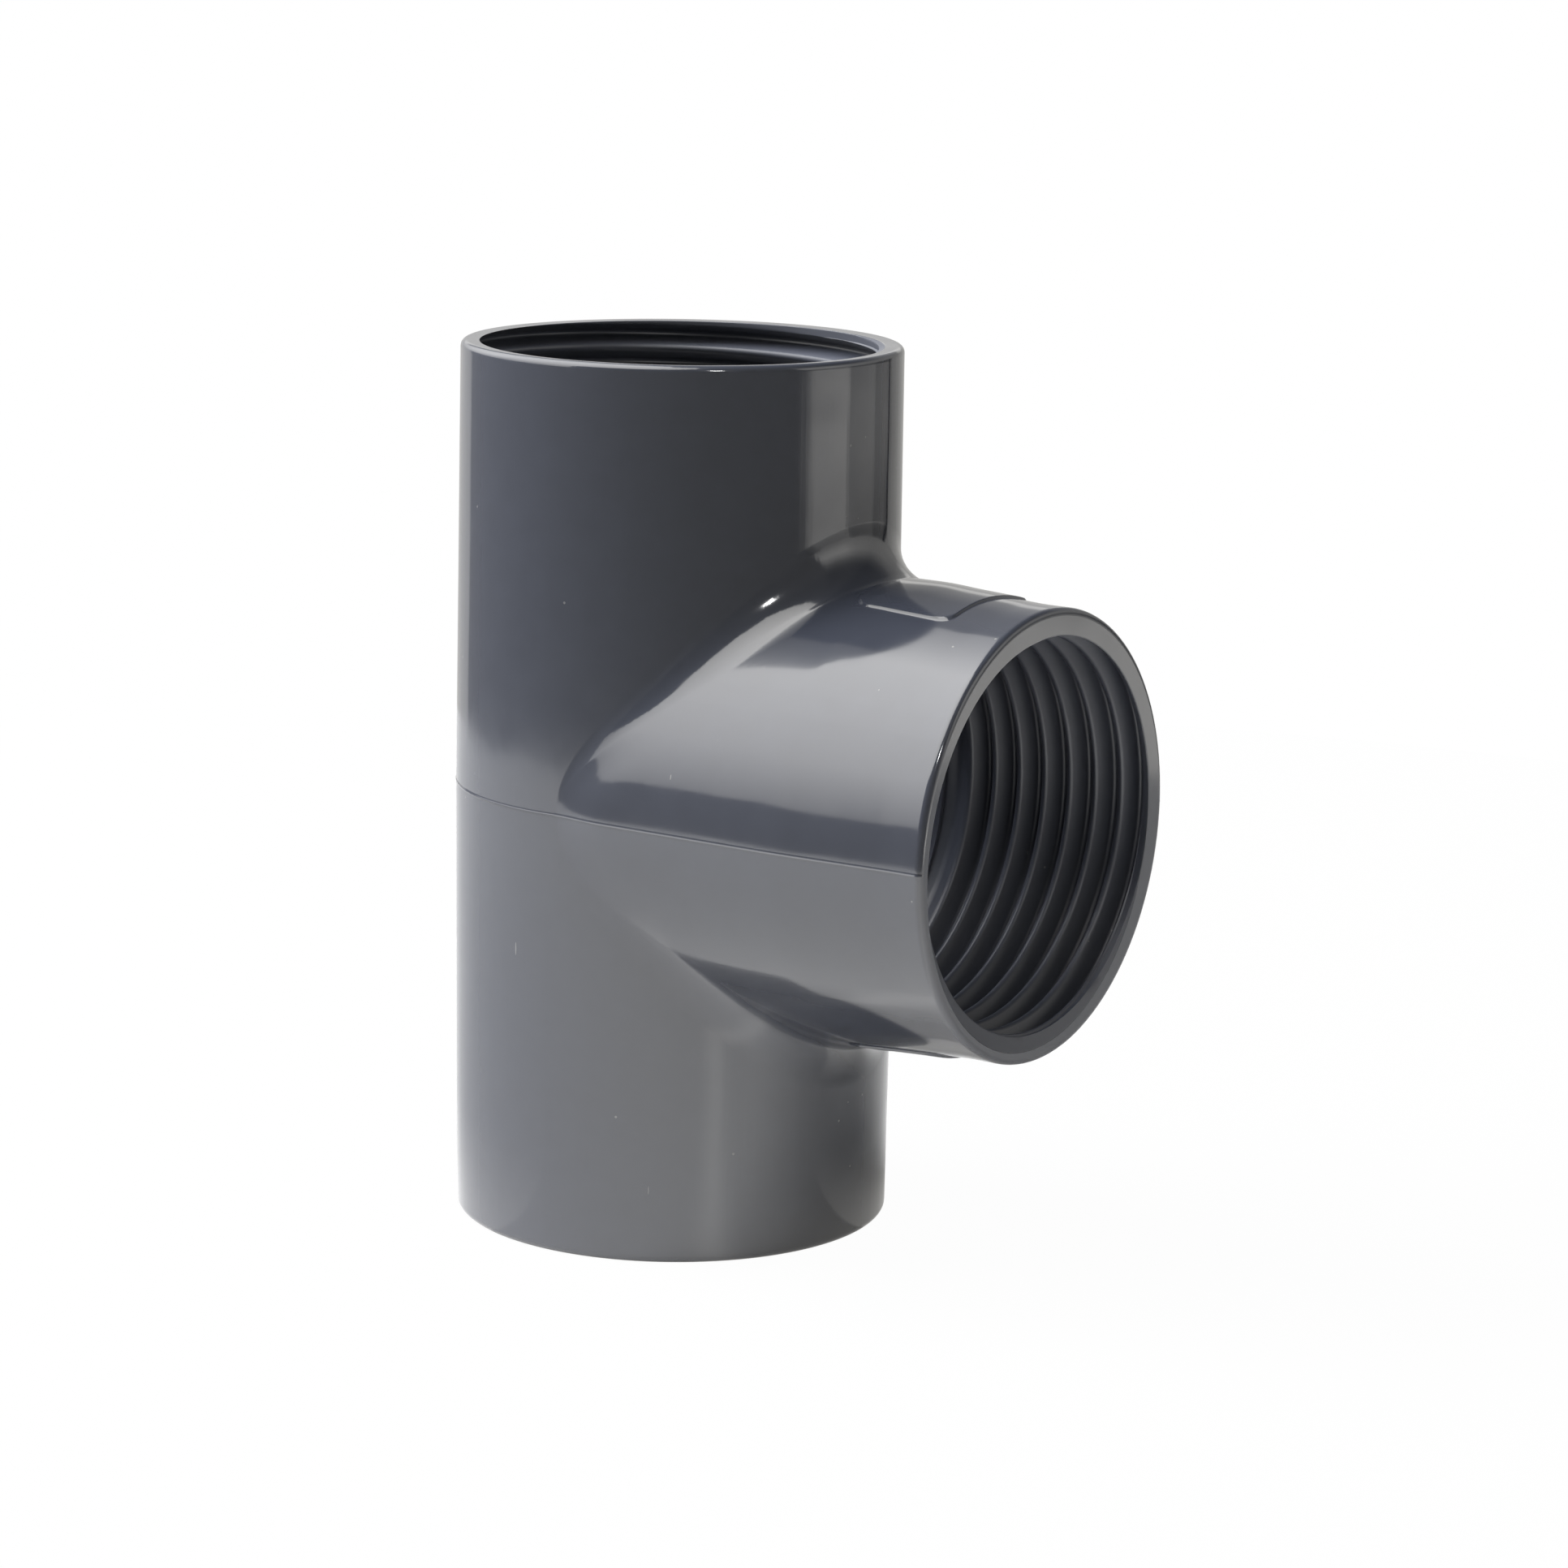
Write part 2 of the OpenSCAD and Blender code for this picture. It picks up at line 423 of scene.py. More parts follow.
    def branch_wall(self, stations: np.ndarray, near_rows: int) -> np.ndarray:
        """The branch's wall, with its pad. Rows open out from the contact to the first station.

        Args:
            stations: distances from the run's axis of the rows after that.
            near_rows: rows between the contact and the first station.

        Returns:
            A grid of the upper half, from the contact to the end.
        """
        centre, _, to_branch = self.contact()
        share = np.linspace(0.0, 1.0, near_rows + 1)[:-1, None] ** 1.4
        near = centre[None, :, 0] * (1 - share) + stations[0] * share
        far = np.repeat(stations[:, None], len(self.front), axis=1)
        x = np.concatenate([near, far])
        radius = self.branch_radius + 0.0 * x
        if self.swell is not None:
            radius = self.swell.wall(self.front[None, :], x, centre[None, :, 0])
        if self.relief is not None:
            radius = radius + self.relief.pad(self.front[None, :], x, self.branch_radius)
        normal = np.broadcast_to(-to_branch, (*x.shape, 3))
        points = normal * radius[..., None]
        points = points + np.stack([x, 0 * x, 0 * x], axis=-1)
        return self.raised(points, normal)


class MouthName(Enum):
    """The three mouths."""

    TOP = "top"
    BOTTOM = "bottom"
    BRANCH = "branch"


@dataclass(frozen=True)
class Thread:
    """An internal right-hand pipe thread with rounded crests and roots.

    Attributes:
        pitch: axial distance between turns.
        crest: radius of the crests.
        root: radius of the roots.
        runout: length over which the groove runs out.
        start_width: share of its full width that the groove has at the face.
        start_depth: share of its full depth that it has there.
        arc_steps: points on half a crest or root.

    HALF_ANGLE is half the angle between two flanks, and ROUNDING_SHARE and DEPTH_SHARE are the rounding's
    radius and the groove's depth as shares of the pitch.
    """

    pitch: float = 2.309
    crest: float = 15.146
    root: float = 16.6245
    runout: float = 1.9
    start_width: float = 0.9
    start_depth: float = 1.0
    arc_steps: int = 3

    HALF_ANGLE = np.radians(27.5)
    ROUNDING_SHARE = 0.137329
    DEPTH_SHARE = 0.640327

    def offsets(self) -> np.ndarray:
        """Places the rows of one groove.

        Half a groove is the root's arc, a straight flank and the crest's arc. An arc turns by 62.5 degrees,
        and its points lie at rounding times the sine of evenly spaced turns.

        Returns:
            The rows' axial places from crest to crest, in millimetres from the groove's middle.
        """
        turn = np.linspace(0.0, np.pi / 2 - self.HALF_ANGLE, self.arc_steps + 1)
        arc = self.ROUNDING_SHARE * self.pitch * np.sin(turn)
        half = np.concatenate([arc, (self.pitch / 2 - arc)[::-1]])
        return np.concatenate([-half[:0:-1], half])

    def share_at(self, distance: np.ndarray) -> np.ndarray:
        """Works out a groove's profile.

        Near the middle and near the crest it is a circle's arc, and between them it falls evenly.

        Args:
            distance: axial distance from the middle of a groove of full width.

        Returns:
            The share of the full depth there.
        """
        rounding = self.ROUNDING_SHARE * self.pitch
        arc_end = rounding * np.cos(self.HALF_ANGLE)
        arc_drop = rounding * (1 - np.sin(self.HALF_ANGLE))
        half = self.pitch / 2
        depth = self.DEPTH_SHARE * self.pitch
        d = np.clip(np.abs(distance), 0.0, half)
        root = depth - (rounding - np.sqrt(np.maximum(rounding ** 2 - d ** 2, 0.0)))
        crest = rounding - np.sqrt(np.maximum(rounding ** 2 - (half - d) ** 2, 0.0))
        flank = depth - arc_drop - (d - arc_end) / np.tan(self.HALF_ANGLE)
        return np.where(d < arc_end, root, np.where(d > half - arc_end, crest, flank)) / depth

    def middles(self, turn: np.ndarray, length: float) -> np.ndarray:
        """Depths of the groove's middle below the face, one row per turn and one column per angle."""
        turns = int(np.ceil(length / self.pitch)) + 1
        return self.pitch * (np.arange(-1, turns)[:, None] + turn[None, :])

    def width_at(self, middle: np.ndarray, lip: float) -> np.ndarray:
        """Share of the full width, which grows evenly over one turn below the lip."""
        grown = self.start_width + (1 - self.start_width) * (middle - lip) / self.pitch
        return np.clip(grown, self.start_width, 1.0)

    def depth_at(self, middle: np.ndarray, end: float) -> np.ndarray:
        """Share of the full depth, which grows over the first turn and fades over the run-out."""
        grown = self.start_depth + (1 - self.start_depth) * middle / self.pitch
        return np.clip(np.minimum(grown, (end - middle) / self.runout), 0.0, 1.0)

    def radius_at(self, turn: np.ndarray, depth: np.ndarray, lip: float, end: float) -> np.ndarray:
        """Radius of the threaded wall.

        Args:
            turn: share of a turn at each column.
            depth: depth below the face, with shape (rows, columns).
            lip: depth of the plain lip.
            end: depth at which the groove has run out.

        Returns:
            The widest of all turns' grooves at each point, and the crests' radius between them.
        """
        middle = self.middles(turn, depth.max())[:, None, :]
        width = self.width_at(middle, lip)
        distance = (depth[None, :, :] - middle) / width
        groove = self.share_at(distance) * self.depth_at(middle, end)
        return self.crest + (self.root - self.crest) * groove.max(axis=0)


@dataclass(frozen=True)
class Mouth:
    """One mouth: rounded outer edge, flat ring face, short plain lip and thread.

    Attributes:
        name: which mouth it is.
        axis: direction out of the mouth.
        first: direction of angle 0 round the axis.
        second: direction of angle 90.
        length: distance of the face from the crossing.
        outside: outside radius at the face.
        angles: angles of the rim's columns in degrees, over a full turn.
        bore_angles: angles of the bore's columns, which may be wider apart.
        start: angle where the groove starts at the face.
        sense: 1 if the groove gets deeper as the angle grows, or -1.
        thread: the thread.
        waterway: radius of the plain waterway behind the thread.
        relief: the outside's fine features, or None where the parting line doesn't cross the rim.
        groove_clear: distance from the crossing at which the groove has run out.
        core_tail: how far the crests' radius goes on after that.
        rim_round: radius of the rounded outer edge.
        rim_steps: faces over that edge.
        lip_depth: depth of the plain lip.
        lip_step: how far the lip is wider than the crests.
        edge_round: radius of the lip's edge at the face.
        end_step: depth of the step from the crests down to the waterway.
    """

    name: MouthName
    axis: tuple[float, float, float]
    first: tuple[float, float, float]
    second: tuple[float, float, float]
    length: float
    outside: float
    angles: np.ndarray
    bore_angles: np.ndarray
    start: float
    sense: int
    thread: Thread
    waterway: float
    relief: Relief | None = None
    groove_clear: float = 16.3
    core_tail: float = 0.6
    rim_round: float = 0.5
    rim_steps: int = 6
    lip_depth: float = 0.6
    lip_step: float = 0.15
    edge_round: float = 0.06
    end_step: float = 0.05

    def turned(self, angles: np.ndarray) -> tuple[np.ndarray, np.ndarray]:
        """Sorts columns from the groove's start over one full turn, and closes them.

        Args:
            angles: angles of the columns in degrees.

        Returns:
            The sorted angles and the share of a turn at each.
        """
        share = np.mod(self.sense * (angles - self.start), 360.0) / 360.0
        share[share > 1 - 1e-9] = 0.0
        share, index = np.unique(np.round(share, 9), return_index=True)
        angles = angles[index]
        return np.append(angles, angles[0]), np.append(share, 1.0)

    def place(self, angle: np.ndarray, radius: np.ndarray, depth: np.ndarray) -> np.ndarray:
        """Puts points into the tee's frame.

        Args:
            angle: angle of each point round the mouth's axis, in degrees.
            radius: its distance from that axis.
            depth: its depth below the face.

        Returns:
            The points.
        """
        turn = np.radians(angle)
        radial = (np.cos(turn)[..., None] * np.array(self.first)
                  + np.sin(turn)[..., None] * np.array(self.second))
        return radial * radius[..., None] + (self.length - depth)[..., None] * np.array(self.axis)

    def lip(self, depth: np.ndarray) -> np.ndarray:
        """Shapes the plain lip: a small rounding at the face, a cylinder, and an even bevel to the crests.

        Args:
            depth: depth below the face.

        Returns:
            The lip's radius there.
        """
        wide = self.thread.crest + self.lip_step
        inside = np.clip(self.edge_round - depth, 0.0, self.edge_round)
        flare = self.edge_round - np.sqrt(self.edge_round ** 2 - inside ** 2)
        return wide + flare - np.maximum(depth - self.lip_depth, 0.0)

    def rim(self) -> np.ndarray:
        """Rounds the outer edge by a quarter circle, over which the parting ridge fades.

        Returns:
            A grid from the outside wall to the face.
        """
        angles, _ = self.turned(self.angles)
        turn = np.linspace(0.0, np.pi / 2, self.rim_steps + 1)[:, None]
        flat = np.zeros((self.rim_steps + 1, len(angles)))
        radius = self.outside - self.rim_round * (1 - np.cos(turn)) + flat
        if self.relief is not None:
            radius = radius + self.relief.line(self.outside * np.cos(np.radians(angles))) * np.cos(turn)
        depth = self.rim_round * (1 - np.sin(turn)) + flat
        return self.place(angles[None, :] + flat, radius, depth)

    def bore(self) -> np.ndarray:
        """Makes the inner wall of the mouth.

        Each groove's rows lie at fixed shares of its width on either side of its middle, so they follow the
        helix. All rows are held between the face and the end, sorted together with the lip's own rows, and
        get their radius from the lip and the thread, whichever is wider.

        Returns:
            A grid from the inner edge at the face to the waterway.
        """
        angles, turn = self.turned(self.bore_angles)
        end = self.length - self.groove_clear
        last = end + self.core_tail
        middle = self.thread.middles(turn, last)
        width = self.thread.width_at(middle, self.lip_depth)
        rows = (middle[:, None, :] + width[:, None, :] * self.thread.offsets()[None, :, None])
        rows = rows.reshape(-1, len(turn))
        edge = self.edge_round * (1 - np.cos(np.linspace(0.0, np.pi / 2, 4)))
        bevel = self.lip_depth + np.array([-0.04, 0.0, 0.02, 0.14, self.lip_step - 0.02, self.lip_step, 0.3])
        own = np.concatenate([[0.0], edge, [0.3], bevel, [end, last - 0.03, last]])
        own = np.repeat(own[:, None], len(turn), axis=1)
        depth = np.sort(np.clip(np.concatenate([rows, own]), 0.0, last), axis=0)
        radius = np.maximum(self.thread.radius_at(turn, depth, self.lip_depth, end), self.lip(depth))
        depth = np.concatenate([depth, depth[-1:] + self.end_step])
        radius = np.concatenate([radius, np.full((1, len(turn)), self.waterway)])
        return self.place(np.broadcast_to(angles, depth.shape), radius, depth)

    def face(self, inner: np.ndarray) -> np.ndarray:
        """The flat ring between the rim's edge and the inner edge, which are its first and last rows.

        Args:
            inner: points of the inner edge, one for each of the bore's columns.

        Returns:
            A grid with the rim's columns, each of which ends at the nearest of the inner edge's points.
        """
        angles, share = self.turned(self.angles)
        radius = np.full(len(angles), self.outside - self.rim_round)
        outer = self.place(angles, radius, np.zeros(len(angles)))
        _, bore_share = self.turned(self.bore_angles)
        nearest = np.abs(share[:, None] - bore_share[None, :]).argmin(axis=1)
        part = np.array([0.0, 0.06, 0.5, 0.94, 1.0])[:, None, None]
        return outer[None] * (1 - part) + inner[nearest][None] * part

    def build(self, moulding: Moulding) -> None:
        """Adds the rim, the face and the bore.

        Args:
            moulding: the moulding to which they belong.
        """
        bore = self.bore()
        moulding.add(self.rim())
        moulding.add(self.face(bore[0]))
        moulding.add(bore)
        LOG.info("mouth %s: %d rows of thread and lip", self.name.value, len(bore))


@dataclass(frozen=True)
class TeeBody:
    """The whole moulding.

    Attributes:
        run_radius: outside radius of the run at the parting line.
        run_end_radius: outside radius of the run at its ends.
        run_half: distance of either end from the branch's axis.
        branch_length: distance of the branch's face from the run's axis.
        crotch_radius: radius of the rounding between run and branch.
        run_bore: radius of the plain waterway through the run.
        branch_bore: radius of the plain waterway of the branch.
        bore_edge: radius of the small rounding where the waterways meet.
        bore_start: distance from the run's axis at which the branch's bore starts.
        bore_reach: radius between the threads' roots and the outside, which tells the bores apart.
        face_gap: depth below a face from which its bore is marked.
        groove_start_run: angle where the grooves of the run's mouths start.
        groove_start_branch: angle where the branch's groove starts.
        rim_round: radius of each mouth's outer edge.
        column_step: plain spacing of the columns in degrees.
        weld: distance in metres under which points become one.
        sharp_angle: angle in degrees above which an edge is shaded as sharp.
        thread: the thread of each mouth.
        relief: fine features of the outside.
        swell: outline of the branch.
    """

    run_radius: float = 17.4995
    run_end_radius: float = 17.2995
    run_half: float = 34.8
    branch_length: float = 34.4
    crotch_radius: float = 4.3
    run_bore: float = 14.996
    branch_bore: float = 14.896
    bore_edge: float = 0.25
    bore_start: float = 14.0
    bore_reach: float = 16.9
    face_gap: float = 0.03
    groove_start_run: float = 56.0
    groove_start_branch: float = 230.0
    rim_round: float = Mouth.rim_round
    column_step: float = 3.0
    weld: float = 4e-7
    sharp_angle: float = 38.0
    thread: Thread = field(default_factory=Thread)
    relief: Relief = field(default_factory=Relief)
    swell: Swell = field(default_factory=Swell)

    def starts(self) -> list[float]:
        """Angles at which a groove starts, as seen among the columns that run and branch share."""
        return [self.groove_start_run, -self.groove_start_run, 180.0 - self.groove_start_branch]

    def front_columns(self) -> np.ndarray:
        """Spaces the columns that run and branch share, closer at the pads' sides and the parting line.

        Returns:
            Their angles in degrees.
        """
        pad = self.relief.pad_half_angle - 0.5
        fine = [(-pad, 1.5, 0.3), (pad, 1.5, 0.3), (-pad + 4.1, 2.1, 0.7), (pad - 4.1, 2.1, 0.7),
                (-90.0, 1.0, 0.25), (90.0, 1.0, 0.25)]
        return columns(-90.0, 90.0, self.column_step, fine, self.starts())

    def run_shares(self, half: float) -> np.ndarray:
        """Share of the way up the run's wall at each row, closer near the parting line and the end."""
        near = np.array([0.0, 0.04, 0.08, 0.12, 0.18, 0.3, 0.6, 1.2, 2.4]) / half
        return np.concatenate([near, np.linspace(0.12, 0.96, 10), [0.99, 0.997, 1.0]])

    def branch_stations(self, end: float) -> np.ndarray:
        """Spaces the rows of the branch's wall after the crotch, closer at the pads' ends and the mouth.

        Args:
            end: distance of the last row from the run's axis.

        Returns:
            The rows' distances from the run's axis.
        """
        pad = self.relief
        first = self.run_radius + self.crotch_radius + 0.2
        fall = np.concatenate([np.linspace(-1.4, -0.3, 6), np.linspace(-0.2, 0.04, 6)])
        middle = np.linspace(first, pad.pad_end - 2.0, 6)
        mouth = np.linspace(pad.pad_end + 0.6, end - 0.4, 6)
        return np.concatenate([middle, pad.pad_end + fall, mouth, [end - 0.1, end]])

    def build(self) -> bpy.types.Object:
        """Makes the closed moulding.

        Returns:
            The finished piece.
        """
        front = self.front_columns()
        back = columns(90.0, 270.0, self.column_step, [], [])
        moulding = Moulding(lift=self.run_half)
        straight = self.run_half - self.rim_round
        outside = Crossing(self.run_radius, self.run_end_radius, straight, self.swell.end_radius,
                           self.branch_length - self.rim_round, self.crotch_radius, front, back,
                           self.relief, self.swell)
        inner_end = Mouth.groove_clear - Mouth.core_tail - Mouth.end_step
        inner_front = columns(-90.0, 90.0, self.column_step, [], self.starts())
        inside = Crossing(self.run_bore, self.run_bore, inner_end, self.branch_bore, inner_end,
                          self.bore_edge, inner_front, back)
        shares = self.run_shares(straight)
        plain = np.linspace(0.0, 1.0, 9)
        arc = np.concatenate([np.linspace(0.0, 0.7, 9), np.linspace(0.72, 1.0, 22)])
        for grid in (outside.crotch(arc), outside.run_front(shares, 0.3), outside.run_back(shares, 0.3),
                     outside.branch_wall(self.branch_stations(outside.branch_reach), 16),
                     inside.crotch(plain[::4]), inside.run_front(plain, 0.6), inside.run_back(plain, 0.6),
                     inside.branch_wall(np.array([inner_end]), 4)):
            moulding.add_both_halves(grid)
        for mouth in self.mouths(front, inner_front, back):
            mouth.build(moulding)
        piece = moulding.make("tee_moulding", self.weld, self.sharp_angle)
        moulding.mark_bores(piece.data, self.bore_reach, self.bore_start, self.branch_length, self.face_gap)
        return piece

    def mouths(self, front: np.ndarray, inner_front: np.ndarray, back: np.ndarray) -> list[Mouth]:
        """Gives the three mouths.

        Args:
            front: columns of the outside that run and branch share.
            inner_front: the same for the waterways.
            back: the run's other columns, outside and inside.

        Returns:
            The mouths, whose columns are those of the walls that they close.
        """
        run, inner_run = (np.concatenate([part, back[1:-1]]) for part in (front, inner_front))
        branch, inner_branch = (np.concatenate([part, 180.0 - part[1:-1]]) for part in (front, inner_front))
        up, down, out = (0.0, 0.0, 1.0), (0.0, 0.0, -1.0), (1.0, 0.0, 0.0)
        side = (0.0, 1.0, 0.0)
        return [
            Mouth(MouthName.TOP, up, out, side, self.run_half, self.run_end_radius, run, inner_run,
                  -self.groove_start_run, -1, self.thread, self.run_bore),
            Mouth(MouthName.BOTTOM, down, out, side, self.run_half, self.run_end_radius, run, inner_run,
                  self.groove_start_run, 1, self.thread, self.run_bore),
            Mouth(MouthName.BRANCH, out, up, side, self.branch_length, self.swell.end_radius, branch,
                  inner_branch, self.groove_start_branch, 1, self.thread, self.branch_bore, self.relief),
        ]


# what a node's input takes: a socket to link, or a constant
Value = bpy.types.NodeSocket | float | tuple[float, ...]


class Operation(Enum):
    """What a node works out from two numbers."""

    PRODUCT = "MULTIPLY"
    LARGER = "MAXIMUM"
    BELOW = "LESS_THAN"
    ABOVE = "GREATER_THAN"


class Blend(Enum):
    """What a node blends."""

    NUMBERS = "FLOAT"
    COLOURS = "RGBA"


@dataclass(frozen=True)
class NodeTree:
    """Adds nodes to the tree of a material or of the world.

    Attributes:
        tree: the tree.
    """

    tree: bpy.types.NodeTree

    def feed(self, node: bpy.types.Node, inputs: dict[str | int, Value]) -> bpy.types.Node:
        """Gives a node its inputs.

        Args:
            node: the node.
            inputs: a socket to link or a constant to set, by the input's name or number.

        Returns:
            The same node.
        """
        for key, value in inputs.items():
            if isinstance(value, bpy.types.NodeSocket):
                self.tree.links.new(value, node.inputs[key])
            else:
                node.inputs[key].default_value = value
        return node

    def add(self, kind: str, inputs: dict[str | int, Value]) -> bpy.types.Node:
        """Adds a node, whose kind is named without its prefix, and gives it its inputs."""
        return self.feed(self.tree.nodes.new("ShaderNode" + kind), inputs)

    def math(self, operation: Operation, first: Value, second: Value) -> bpy.types.NodeSocket:
        """Adds a node that works on two numbers.

        Args:
            operation: what it works out.
            first: the first number.
            second: the second number.

        Returns:
            Its result.
        """
        node = self.add("Math", {0: first, 1: second})
        node.operation = operation.value
        return node.outputs[0]

    def blend(self, kind: Blend, factor: Value, low: Value, high: Value) -> bpy.types.NodeSocket:
        """Adds a node that passes from one value to another.

        Args:
            kind: whether they are numbers or colours.
            factor: share of the way, from 0 to 1.
            low: the first value.
            high: the second value.

        Returns:
            Its result.
        """
        node = self.add("Mix", {})
        node.data_type = kind.value
        return self.feed(node, {"Factor": factor, "A": low, "B": high}).outputs["Result"]

    def noise(self, place: Value, scale: float, detail: float) -> bpy.types.NodeSocket:
        """Adds a cloudy pattern and gives its height."""
        return self.add("TexNoise", {"Vector": place, "Scale": scale, "Detail": detail}).outputs["Fac"]

    def ramp(self, value: Value, inputs: dict[str | int, Value]) -> bpy.types.NodeSocket:
        """Adds a node that maps one range of numbers to another, and gives its result."""
        return self.add("MapRange", {"Value": value, **inputs}).outputs["Result"]

    def attribute(self, name: str) -> bpy.types.NodeSocket:
        """Reads a number that the mesh holds at its points.

        Args:
            name: the attribute's name.

        Returns:
            The number.
        """
        node = self.add("Attribute", {})
        node.attribute_name = name
        return node.outputs["Fac"]

    def show(self, shader: bpy.types.NodeSocket) -> None:
        """Makes a shader the material's surface."""
        self.feed(self.tree.nodes["Material Output"], {"Surface": shader})


@dataclass(frozen=True)
class Marks:
    """Small sparse marks: the cores of a few of a cell pattern's cells.

    Attributes:
        cells: cells per metre along each axis.
        size: radius of a mark, as a share of a cell.
        plain: share of the cells that have no mark.
    """

    cells: tuple[float, float, float]
    size: float
    plain: float

    def spread(self, nodes: NodeTree, place: bpy.types.NodeSocket) -> bpy.types.NodeSocket:
        """Adds the marks to a material.

        Args:
            nodes: the material's nodes.
            place: coordinates in metres.

        Returns:
            A socket that is 1 in the marks and 0 elsewhere.
        """
        stretched = nodes.add("Mapping", {"Vector": place, "Scale": self.cells})
        pattern = nodes.add("TexVoronoi", {"Vector": stretched.outputs["Vector"], "Scale": 1.0})
        chance = nodes.add("SeparateColor", {"Color": pattern.outputs["Color"]})
        core = nodes.math(Operation.BELOW, pattern.outputs["Distance"], self.size)
        chosen = nodes.math(Operation.ABOVE, chance.outputs["Red"], self.plain)
        return nodes.math(Operation.PRODUCT, core, chosen)


@dataclass(frozen=True)
class GlossyPlastic:
    """Dark grey unplasticised PVC as it leaves a polished mould.

    Attributes:
        name: name of the material.
        colour: base colour.
        index: index of refraction.
        roughness: roughness of the polished outside.
        roughness_below: how far it falls below that from place to place.
        roughness_above: how far it rises above it.
        bore_roughness: roughness of the threads and waterways, which the mould's cores leave matt.
        tone_scale: patches per metre of the faint mottling.
        tone_spread: share by which the mottling darkens and lightens the colour.
        specks: the small pale specks.
        scratches: the fine upright scratches.
        mark_colour: colour of both.
        mark_share: how much of that colour they show.
        wave_scale: slow waves per metre.
        waviness: height of the slow waves in metres, which bend the edges of reflections.
        wave_strength: share of that height which shows.
        streak_cells: cells per metre along each axis of the fine upright streaks that the mould left.
        streak_height: height of the streaks in metres.
        streak_fade: distances along X, in metres, between which the streaks fade out, so that only the run
            has them.
    """

    name: str = "pvc_dark_grey"
    colour: tuple[float, float, float] = (0.054, 0.060, 0.080)
    index: float = 1.8
    roughness: float = 0.09
    roughness_below: float = 0.025
    roughness_above: float = 0.04
    bore_roughness: float = 0.45
    tone_scale: float = 420.0
    tone_spread: float = 0.06
    specks: Marks = Marks((1100.0, 1100.0, 1100.0), 0.11, 0.975)
    scratches: Marks = Marks((1500.0, 1500.0, 160.0), 0.09, 0.985)
    mark_colour: tuple[float, float, float, float] = (0.24, 0.24, 0.24, 1.0)
    mark_share: float = 0.7
    wave_scale: float = 110.0
    waviness: float = 0.00012
    wave_strength: float = 0.5
    streak_cells: tuple[float, float, float] = (2600.0, 2600.0, 45.0)
    streak_height: float = 0.000005
    streak_fade: tuple[float, float] = (0.0172, 0.0178)

    def worn_colour(self, nodes: NodeTree, place: Value, tone: Value) -> bpy.types.NodeSocket:
        """Mottles the base colour and adds the specks and scratches.

        Args:
            nodes: the material's nodes.
            place: coordinates in metres.
            tone: height of the mottling.

        Returns:
            The colour.
        """
        dark, light = ((*[part * share for part in self.colour], 1.0)
                       for share in (1.0 - self.tone_spread, 1.0 + self.tone_spread))
        tint = nodes.blend(Blend.COLOURS, tone, dark, light)
        specks, scratches = (marks.spread(nodes, place) for marks in (self.specks, self.scratches))
        marked = nodes.math(Operation.LARGER, specks, scratches)
        faint = nodes.math(Operation.PRODUCT, marked, self.mark_share)
        return nodes.blend(Blend.COLOURS, faint, tint, self.mark_colour)

    def relief(self, nodes: NodeTree, place: Value) -> bpy.types.NodeSocket:
        """Adds the slow waves, and on the run the upright streaks.

        Args:
            nodes: the material's nodes.
            place: coordinates in metres.

        Returns:
            The surface's normal.
        """
        waves = nodes.add("Bump", {"Height": nodes.noise(place, self.wave_scale, 1.0),
                                   "Distance": self.waviness, "Strength": self.wave_strength})
        stretched = nodes.add("Mapping", {"Vector": place, "Scale": self.streak_cells})
        along_branch = nodes.add("SeparateXYZ", {"Vector": place}).outputs["X"]
        near, far = self.streak_fade
        on_run = nodes.ramp(along_branch, {"From Min": near, "From Max": far, "To Min": 1.0, "To Max": 0.0})
        streaks = nodes.add("Bump", {"Height": nodes.noise(stretched.outputs["Vector"], 1.0, 2.0),
                                     "Distance": self.streak_height, "Strength": on_run,
                                     "Normal": waves.outputs["Normal"]})
        return streaks.outputs["Normal"]

    def make(self) -> bpy.types.Material:
        """Builds the material.

        Returns:
            The material, whose threads and waterways are matt.
        """
        material = bpy.data.materials.new(self.name)
        material.use_nodes = True
        nodes = NodeTree(material.node_tree)
        place = nodes.add("TexCoord", {}).outputs["Object"]
        tone = nodes.noise(place, self.tone_scale, 4.0)
        polished = nodes.ramp(tone, {"To Min": self.roughness - self.roughness_below,
                                     "To Max": self.roughness + self.roughness_above})
        nodes.feed(material.node_tree.nodes["Principled BSDF"], {
            "IOR": self.index,
            "Base Color": self.worn_colour(nodes, place, tone),
            "Roughness": nodes.blend(Blend.NUMBERS, nodes.attribute("bore"), polished, self.bore_roughness),
            "Normal": self.relief(nodes, place)})
        return material


@dataclass(frozen=True)
class Panel:
    """One upright stretch of the room's wall, as the polished plastic mirrors it.

    Attributes:
        start: azimuth of its first edge in degrees.
        end: azimuth of its second edge.
        glow_start: brightness at the first edge, where 1 is white.
        glow_end: brightness at the second edge.
    """

    start: float
    end: float
    glow_start: float
    glow_end: float


class LampUse(Enum):
    """What a lamp does to the plastic."""

    SOFT_LIGHT = "lights its colour"
    GLINT = "shows as a glint in its polish"


@dataclass(frozen=True)
class Lamp:
    """A square lamp that faces the object.

    Attributes:
        name: its name.
        azimuth: where it stands, in degrees.
        elevation: how high it stands, in degrees.
        side: length of its sides in metres.
        glow: brightness of its face, where 1 is white.
        use: what it does.
    """

    name: str
    azimuth: float
    elevation: float
    side: float
    glow: float
    use: LampUse


